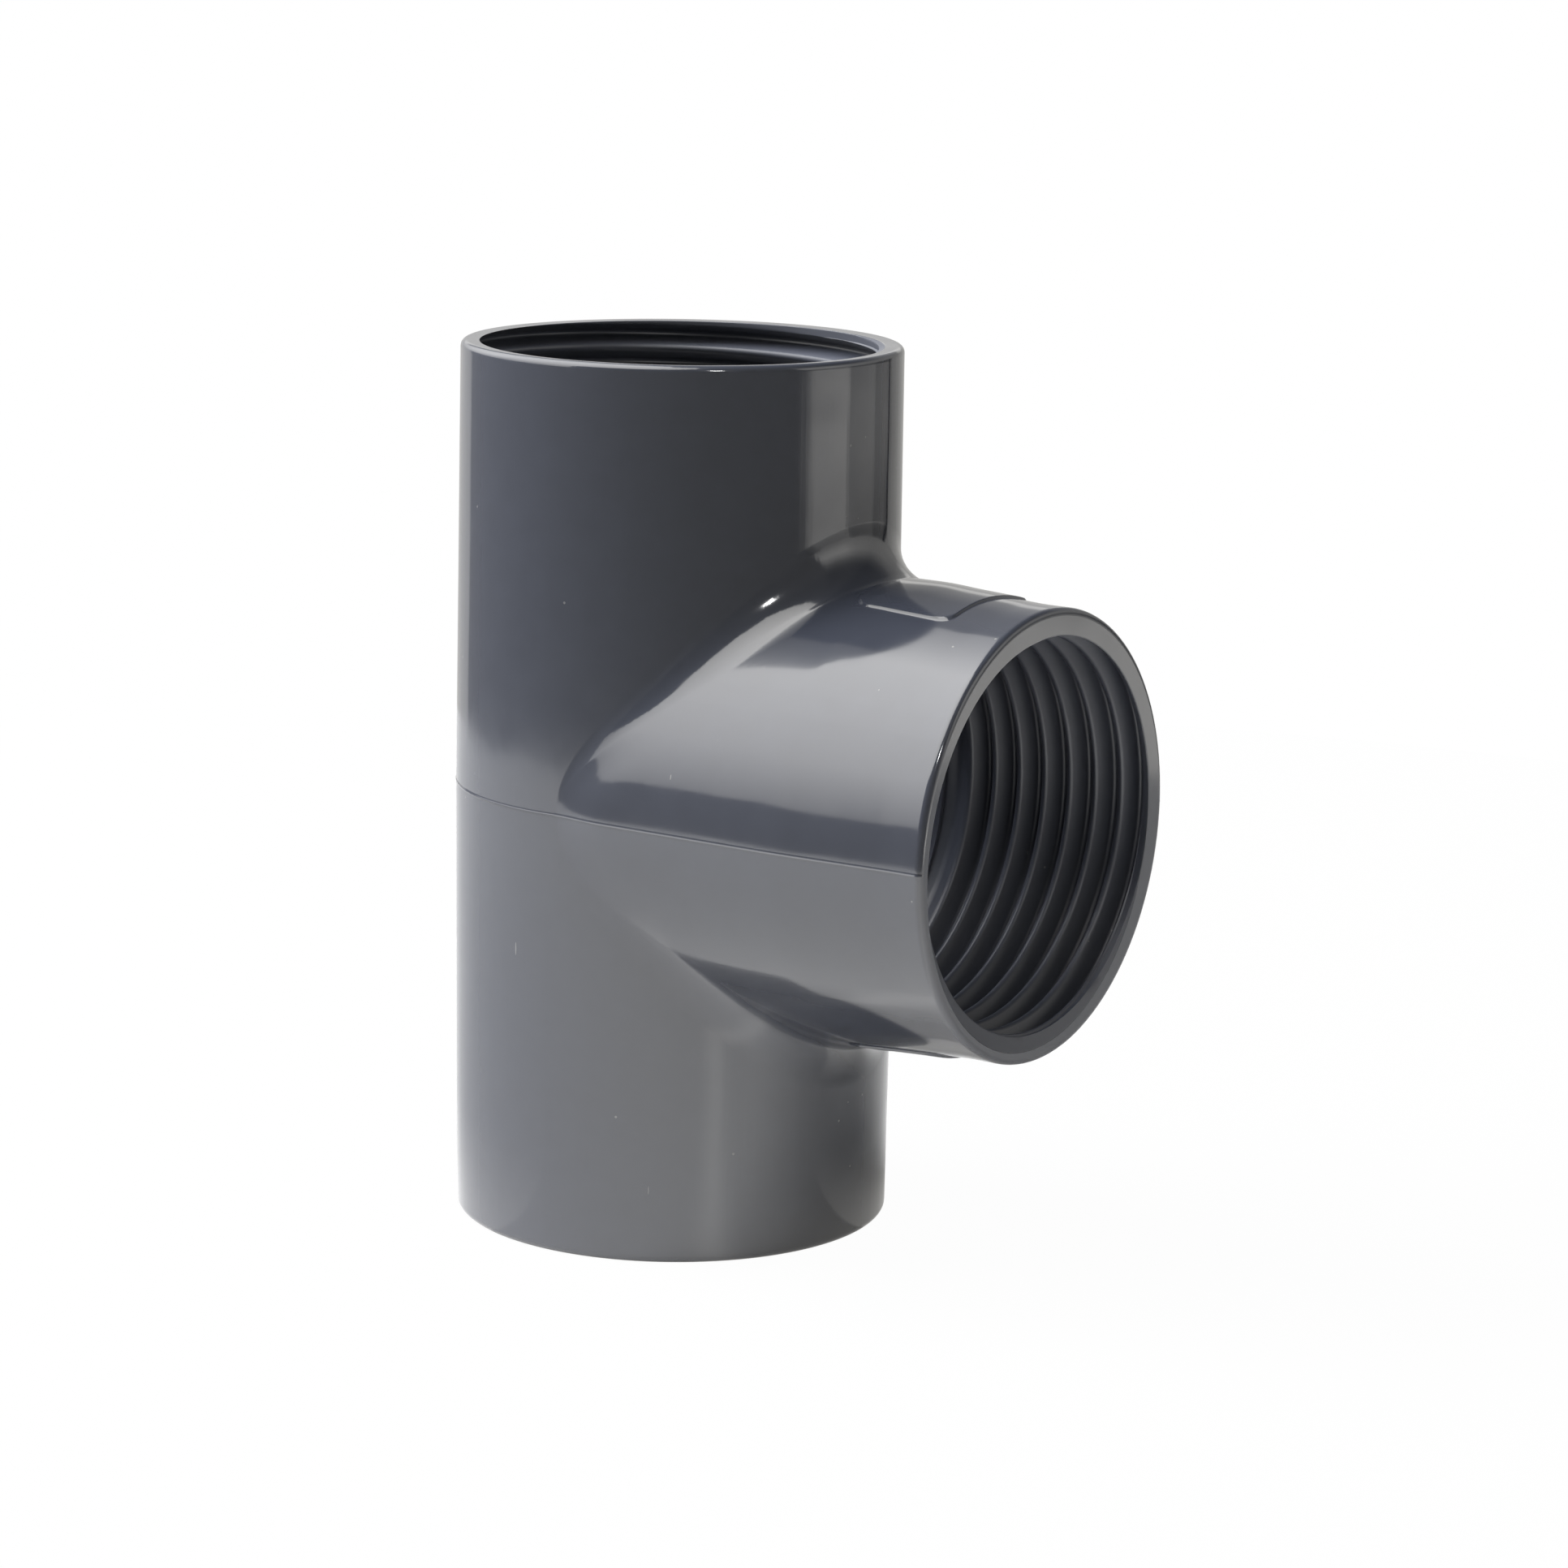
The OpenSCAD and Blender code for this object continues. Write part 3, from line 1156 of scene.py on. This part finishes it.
@dataclass(frozen=True)
class TableSheen:
    """Light and shade painted onto the table as the polished plastic mirrors it, by the place on the table.

    Attributes:
        level: brightness at the middle.
        right: direction in which the painted light gets brighter.
        slope: how much brighter it gets from the middle to that side.
        most: the brightest that it gets without the streak.
        shade_azimuth: azimuth of the painted shadow under the branch's far side, in degrees.
        shade_width: width of its bell curve in degrees.
        shade_depth: how much darker it is.
        shade_rise: distance from its start over which it gets dark, in metres.
        foot: distance from the run's axis in metres, where the painted shadow starts and the painted glow
            fades.
        foot_glow: how much brighter the painted light makes the table round the run's foot.
        foot_fade: distance over which that fades.
        foot_right: share towards the right past which the foot has no such painted light.
        streak_start: where the painted streak of light starts, in metres.
        streak_way: its direction.
        streak_width: width of its bell curve at the start, in millimetres.
        streak_spread: how much wider it gets for each millimetre along it.
        streak_lead: how far before its start it may be seen, in millimetres.
        streak_glow: how much brighter it is.
    """

    level: float = 0.26
    right: tuple[float, float] = (0.64, -0.77)
    slope: float = 0.5
    most: float = 0.9
    shade_azimuth: float = 152.0
    shade_width: float = 28.0
    shade_depth: float = 0.4
    shade_rise: float = 0.02
    foot: float = 0.022
    foot_glow: float = 0.3
    foot_fade: float = 0.015
    foot_right: float = 0.5
    streak_start: tuple[float, float] = (0.0126, -0.0119)
    streak_way: tuple[float, float] = (0.85, -0.53)
    streak_width: float = 1.8
    streak_spread: float = 0.07
    streak_lead: float = 1.0
    streak_glow: float = 0.4

    def at(self, radius: np.ndarray, turn: np.ndarray) -> np.ndarray:
        """Works out the painted brightness of a grid of places.

        The painted light grows evenly with the cosine of the angle to the right. The painted shadow is a bell
        curve over the azimuth, and the painted streak of light is one across its line.

        Args:
            radius: distance from the run's axis in metres, as a column.
            turn: angle from +X in radians, as a row.

        Returns:
            The brightness on the grid of both.
        """
        x, y = radius * np.cos(turn), radius * np.sin(turn)
        toward_right = self.right[0] * np.cos(turn) + self.right[1] * np.sin(turn) + 0 * radius
        # painted shadow of the branch on the table, darkest round shade_azimuth
        beside = np.degrees(np.arctan2(x, -y)) - self.shade_azimuth
        shade = np.exp(-(beside / self.shade_width) ** 2)
        shade = shade * smooth_step((radius - self.foot) / self.shade_rise)
        # painted streak of light along streak_way from streak_start
        right_of, front_of = (x - self.streak_start[0]) / MM, (y - self.streak_start[1]) / MM
        along = self.streak_way[0] * right_of + self.streak_way[1] * front_of
        across = self.streak_way[0] * front_of - self.streak_way[1] * right_of
        width = self.streak_width + self.streak_spread * np.abs(along)
        streak = np.exp(-(across / width) ** 2) * (along > -self.streak_lead)
        # painted light, brighter towards the right, less the painted shadow
        sheen = np.clip(self.level + self.slope * toward_right - self.shade_depth * shade, 0.0, self.most)
        # painted light round the run's foot, except on its right
        painted_foot_light = 1.0 - smooth_step((radius - self.foot) / self.foot_fade)
        painted_foot_light = painted_foot_light * (toward_right < self.foot_right)
        return sheen + self.streak_glow * streak + self.foot_glow * painted_foot_light


@dataclass(frozen=True)
class Studio:
    """A round white table in a room that is dark in front of the object and pale behind it.

    Azimuth 0 is the direction -Y and azimuth 90 is +X. Elevations are in degrees.

    Attributes:
        centre: middle of the object in metres.
        glow_tint: colour of the soft box, the walls and the table's painted sheen.
        ambient: brightness of the surroundings to soft light.
        table_rings: radii in metres of the table's rings of points, of which the last is its edge.
        table_grey: how much of the light that falls on it the table gives back.
        table_white: share of plain white that the camera sees of it, next to the object's shadow.
        sheen: the light and shade painted on the table, which the plastic mirrors.
        wall_radius: distance of the room's walls.
        wall_step: width of the walls' faces in degrees.
        walls: the stretches of wall, in the order of their azimuths.
        front_profile: elevation and share of a front wall's brightness, from the foot to the top.
        back_start: azimuth from which the walls have the other profile.
        back_profile: the same for the walls behind the object at the right, with a bright ledge.
        ceiling_heights: elevations at which the ceiling's brightness is given.
        ceiling: azimuth, and brightness at those elevations.
        lamp_distance: distance of the lamps and of the soft box from the object in metres.
        key_edge: elevation, front azimuth and rear azimuth of the soft box.
        key_glow: brightness of its foot, and how much brighter it is at the top of key_rise.
        key_rise: elevations between which its brightness grows.
        key_fall: azimuth and share of that brightness, from its rear to its front.
        lamps: the lamps.
    """

    centre: tuple[float, float, float] = (0.0085, 0.0, 0.035)
    glow_tint: tuple[float, float, float, float] = (1.0, 0.985, 0.95, 1.0)
    ambient: float = 0.06
    table_rings: tuple[float, ...] = (0.0, 0.015, 0.02, 0.03, 0.04, 0.06, 0.08, 0.1, 0.15, 0.215)
    table_grey: float = 0.52
    table_white: float = 0.98
    sheen: TableSheen = TableSheen()
    wall_radius: float = 1.5
    wall_step: float = 3.0
    walls: tuple[Panel, ...] = (
        Panel(-188.0, -104.0, 0.45, 0.85),
        Panel(-104.0, -40.0, 0.3, 0.3),
        Panel(-40.0, 98.0, 0.31, 0.27),
        Panel(98.0, 106.0, 0.35, 1.2),
        Panel(106.0, 131.0, 1.6, 1.6),
        Panel(131.0, 144.0, 0.85, 0.85),
        Panel(144.0, 154.0, 0.85, 0.8),
        Panel(154.0, 168.5, 0.5, 0.5),
        Panel(168.5, 172.0, 0.0, 0.0),
    )
    front_profile: tuple[tuple[float, float], ...] = ((-60.0, 1.0), (-25.0, 1.0), (7.5, 1.0))
    back_start: float = 97.0
    back_profile: tuple[tuple[float, float], ...] = (
        (-60.0, 1.85), (-8.6, 1.85), (-8.0, 0.46), (-7.3, 0.52), (-6.4, 0.75), (-5.5, 1.0), (-4.9, 1.1),
        (-4.6, 0.5), (0.0, 0.42), (5.0, 0.42), (7.5, 0.6))
    ceiling_heights: tuple[float, ...] = (7.5, 9.5, 13.5, 15.0, 22.0, 30.0, 35.0, 42.0, 50.0, 89.0)
    ceiling: tuple[tuple[float, tuple[float, ...]], ...] = (
        (-104.0, (0.12,) * 10),
        (20.0, (*(0.2,) * 9, 0.15)),
        (98.0, (*(0.25,) * 8, 0.2, 0.15)),
        (101.0, (0.8, 0.9, 1.1, 1.2, 1.4, 0.9, 0.5, 0.25, 0.15, 0.15)),
        (123.0, (0.8, 0.9, 1.1, 1.2, 1.4, 0.9, 0.5, 0.25, 0.15, 0.15)),
        (133.0, (0.8, 0.8, 0.9, 0.9, 1.0, 0.7, 0.4, 0.2, 0.15, 0.15)),
        (156.0, (0.5, 0.55, 0.6, 0.62, 0.62, 0.35, 0.2, 0.08, 0.08, 0.08)),
        (190.0, (0.35, 0.4, 0.4, 0.35, 0.35, 0.3, 0.15, 0.08, 0.08, 0.08)),
        (205.0, (0.5, 1.1, 1.1, 0.5, 0.45, 0.3, 0.3, 0.3, 0.3, 0.2)),
        (230.0, (0.5, 1.1, 1.1, 0.5, 0.4, 0.3, 0.35, 0.4, 0.4, 0.2)),
        (256.0, (*(0.2,) * 9, 0.08)),
    )
    lamp_distance: float = 0.8
    key_edge: tuple[tuple[float, float, float], ...] = (
        (7.5, -24.0, -126.0), (28.0, -24.0, -126.0), (30.0, -20.0, -126.0), (34.0, -5.0, -127.0),
        (38.0, 7.5, -129.0), (41.0, 17.0, -131.0), (46.0, 24.0, -133.0), (50.0, 34.0, -134.0),
        (59.0, 42.0, -134.0), (74.0, 57.0, -134.0), (86.0, 70.0, -134.0))
    key_glow: tuple[float, float] = (1.5, 2.85)
    key_rise: tuple[float, float] = (7.5, 67.5)
    key_fall: tuple[tuple[float, float], ...] = (
        (-134.0, 0.38), (-122.0, 0.55), (-107.0, 0.78), (-90.0, 1.0), (-10.0, 1.0), (57.0, 0.62))
    lamps: tuple[Lamp, ...] = (
        Lamp("left_light", -65.0, 45.0, 0.5, 17.5, LampUse.SOFT_LIGHT),
        Lamp("top_light", -40.0, 80.0, 0.4, 6.5, LampUse.SOFT_LIGHT),
        Lamp("right_spark", 54.0, 33.0, 0.07, 40.0, LampUse.GLINT),
    )

    def direction(self, azimuth: np.ndarray, elevation: np.ndarray) -> np.ndarray:
        """Gives unit vectors towards these azimuths and elevations in degrees."""
        a, e = np.radians(azimuth), np.radians(elevation)
        return np.stack([np.sin(a) * np.cos(e), -np.cos(a) * np.cos(e), np.sin(e) + 0 * a], axis=-1)

    def hang(self, lamp: Lamp) -> None:
        """Adds a lamp, whose power is its brightness times pi times its area.

        Args:
            lamp: the lamp.
        """
        light = bpy.data.lights.new(lamp.name, "AREA")
        light.shape = "RECTANGLE"
        light.size = light.size_y = lamp.side
        light.energy = lamp.glow * np.pi * lamp.side ** 2
        piece = bpy.data.objects.new(lamp.name, light)
        toward = Vector(self.direction(np.array(lamp.azimuth), np.array(lamp.elevation)))
        piece.location = Vector(self.centre) + toward * self.lamp_distance
        piece.rotation_mode = "QUATERNION"
        piece.rotation_quaternion = toward.to_track_quat("Z", "Y")
        piece.visible_camera = False
        piece.visible_glossy = lamp.use is LampUse.GLINT
        piece.visible_diffuse = lamp.use is LampUse.SOFT_LIGHT
        bpy.context.scene.collection.objects.link(piece)

    def glowing(self, name: str, grids: list[np.ndarray], glow: list[np.ndarray]) -> None:
        """Adds grids of points whose brightness is given at every point, and which only gloss sees.

        Args:
            name: name of the new stage piece.
            grids: grids of points round the object in metres, each with shape (rows, columns, 3).
            glow: brightness at each grid's points.
        """
        start = np.cumsum([0] + [grid.shape[0] * grid.shape[1] for grid in grids])
        quads = [grid_faces(*grid.shape[:2], first) for grid, first in zip(grids, start)]
        points = np.concatenate([grid.reshape(-1, 3) for grid in grids]) + np.array(self.centre)
        mesh = bpy.data.meshes.new(name)
        mesh.from_pydata(points, [], np.concatenate(quads))
        values = mesh.attributes.new("glow", "FLOAT", "POINT")
        values.data.foreach_set("value", np.concatenate([part.ravel() for part in glow]).astype(np.float32))
        material = bpy.data.materials.new(name)
        material.use_nodes = True
        nodes = NodeTree(material.node_tree)
        material.node_tree.nodes.remove(material.node_tree.nodes["Principled BSDF"])
        light = nodes.add("Emission", {"Color": self.glow_tint, "Strength": nodes.attribute("glow")})
        nodes.show(light.outputs["Emission"])
        mesh.materials.append(material)
        piece = bpy.data.objects.new(name, mesh)
        piece.visible_camera = False
        piece.visible_diffuse = False
        piece.visible_shadow = False
        bpy.context.scene.collection.objects.link(piece)
        piece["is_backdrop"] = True

    def room(self) -> None:
        """Adds the walls and the ceiling.

        All of it lies on one sphere round the object, at the azimuths and elevations of its parts.
        """
        grids, glow = [], []
        for panel in self.walls:
            steps = max(1, int(round((panel.end - panel.start) / self.wall_step)))
            share = np.linspace(0.0, 1.0, steps + 1)[None, :]
            azimuth = panel.start * (1 - share) + panel.end * share
            profile = self.back_profile if panel.start > self.back_start else self.front_profile
            height, factor = np.array(profile).T[:, :, None]
            grids.append(self.wall_radius * self.direction(azimuth + 0 * height, height + 0 * azimuth))
            glow.append((panel.glow_start * (1 - share) + panel.glow_end * share) * factor)
        stations = np.array([station for station, _ in self.ceiling])
        steps = int(round((stations[-1] - stations[0]) / self.wall_step))
        even = np.linspace(stations[0], stations[-1], steps + 1)
        azimuth = np.unique(np.concatenate([even, stations]))
        rows = [np.interp(azimuth, stations, values)
                for values in np.array([values for _, values in self.ceiling]).T]
        across, up = np.meshgrid(azimuth, np.array(self.ceiling_heights))
        grids.append(self.wall_radius * self.direction(across, up))
        glow.append(np.array(rows))
        self.glowing("room", grids, glow)

    def key_soft_box(self) -> None:
        """Adds what the plastic mirrors of the large soft box.

        Its brightness grows with the root of the height, and falls off towards its ends. Its front edge
        leans back over the object, so that it hangs above it as well.
        """
        up, front, rear = np.array(self.key_edge).T[:, :, None]
        share = np.linspace(0.0, 1.0, 40)[None, :]
        across = front * (1 - share) + rear * share
        up = up + 0 * across
        foot, top = self.key_rise
        rise = np.clip((up - foot) / (top - foot), 0.0, 1.0)
        glow = self.key_glow[0] + self.key_glow[1] * np.sqrt(rise)
        fall = np.interp(across, *np.array(self.key_fall).T)
        self.glowing("key_soft_box", [self.lamp_distance * self.direction(across, up)], [glow * fall])

    def table(self) -> None:
        """Adds the round white table on which the tee stands.

        The camera sees it nearly white, soft light sees plain grey paper, and gloss sees that paper and the
        light and shade painted on it.
        """
        turn = np.linspace(0.0, 2 * np.pi, 241)[None, :]
        radius = np.array(self.table_rings)[:, None]
        grid = np.stack([radius * np.cos(turn), radius * np.sin(turn), 0 * radius * turn], axis=-1)
        mesh = bpy.data.meshes.new("table")
        mesh.from_pydata(grid.reshape(-1, 3), [], grid_faces(*grid.shape[:2], 0))
        values = mesh.attributes.new("sheen", "FLOAT", "POINT")
        values.data.foreach_set("value", self.sheen.at(radius, turn).ravel().astype(np.float32))
        material = bpy.data.materials.new("table_white")
        material.use_nodes = True
        nodes = NodeTree(material.node_tree)
        paper = nodes.feed(material.node_tree.nodes["Principled BSDF"], {
            "Base Color": (self.table_grey, self.table_grey, self.table_grey, 1.0),
            "Roughness": 0.9, "Specular IOR Level": 0.0})
        ray = nodes.add("LightPath", {})
        # painted sheen: light and shade painted on the table, which only glossy rays see
        sheen = nodes.math(Operation.PRODUCT, ray.outputs["Is Glossy Ray"], nodes.attribute("sheen"))
        mirrored = nodes.add("Emission", {"Color": self.glow_tint, "Strength": sheen})
        lit = nodes.add("AddShader", {0: paper.outputs["BSDF"], 1: mirrored.outputs["Emission"]})
        white = nodes.add("Emission", {"Strength": 1.0})
        share = nodes.math(Operation.PRODUCT, ray.outputs["Is Camera Ray"], self.table_white)
        seen = nodes.add("MixShader", {0: share, 1: lit.outputs["Shader"], 2: white.outputs["Emission"]})
        nodes.show(seen.outputs["Shader"])
        mesh.materials.append(material)
        table = bpy.data.objects.new("table", mesh)
        bpy.context.scene.collection.objects.link(table)
        table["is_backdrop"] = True

    def world(self) -> None:
        """Makes the surroundings white to the camera, to gloss and to glass, and grey to soft light."""
        world = bpy.data.worlds.new("studio")
        bpy.context.scene.world = world
        world.use_nodes = True
        nodes = NodeTree(world.node_tree)
        ray = nodes.add("LightPath", {}).outputs
        mirrored = nodes.math(Operation.LARGER, ray["Is Glossy Ray"], ray["Is Transmission Ray"])
        seen = nodes.math(Operation.LARGER, ray["Is Camera Ray"], mirrored)
        strength = nodes.ramp(seen, {"To Min": self.ambient, "To Max": 1.0})
        nodes.feed(world.node_tree.nodes["Background"], {"Color": (1.0, 1.0, 1.0, 1.0), "Strength": strength})

    def build(self) -> None:
        """Sets up the table, the surroundings and the lamps."""
        self.table()
        self.world()
        self.room()
        self.key_soft_box()
        for lamp in self.lamps:
            self.hang(lamp)


@dataclass(frozen=True)
class PhotoCamera:
    """The photograph's view.

    Attributes:
        azimuth: turn round the object in degrees.
        elevation: angle above the horizon in degrees.
        roll: turn about the line of sight in degrees.
        distance: distance from the target in metres.
        target: point in the middle of the picture, in metres.
        lens: focal length in millimetres on a 36 mm sensor.
    """

    azimuth: float = 34.457
    elevation: float = 11.74
    roll: float = 1.097
    distance: float = 0.3523
    target: tuple[float, float, float] = (0.010352, 0.0, 0.035707)
    lens: float = 103.39

    def build(self) -> None:
        """Adds the camera and makes it the scene's."""
        a, e, r = np.radians([self.azimuth, self.elevation, self.roll])
        back = Vector((np.sin(a) * np.cos(e), -np.cos(a) * np.cos(e), np.sin(e)))
        level = Vector((np.cos(a), np.sin(a), 0.0))
        up = back.cross(level)
        right = level * np.cos(r) + up * np.sin(r)
        up = up * np.cos(r) - level * np.sin(r)
        data = bpy.data.cameras.new("photo_camera")
        data.lens = self.lens
        data.sensor_width = 36.0
        data.clip_start, data.clip_end = 0.01, 20.0
        camera = bpy.data.objects.new("photo_camera", data)
        matrix = Matrix((right, up, back)).transposed().to_4x4()
        matrix.translation = Vector(self.target) + back * self.distance
        camera.matrix_world = matrix
        bpy.context.scene.collection.objects.link(camera)
        bpy.context.scene.camera = camera


def plain(corners: tuple[Vector, Vector]) -> list[list[float]]:
    """Gives a box's two corners as lists of numbers."""
    return [[float(value) for value in corner] for corner in corners]


def main() -> None:
    """Builds the camera, the studio and the tee."""
    logging.basicConfig(level=logging.INFO, format="%(name)s: %(message)s")
    cad_box = plain(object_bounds())
    bpy.context.scene.view_settings.view_transform = "Standard"
    PhotoCamera().build()
    Studio().build()
    tee = TeeBody().build()
    tee.data.materials.append(GlossyPlastic().make())
    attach(tee, "root")
    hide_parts("tee_body")
    LOG.info("tee_moulding: %d faces", len(tee.data.polygons))
    {"cad": cad_box, "visual": plain(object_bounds())}


if __name__ == "__main__":
    main()
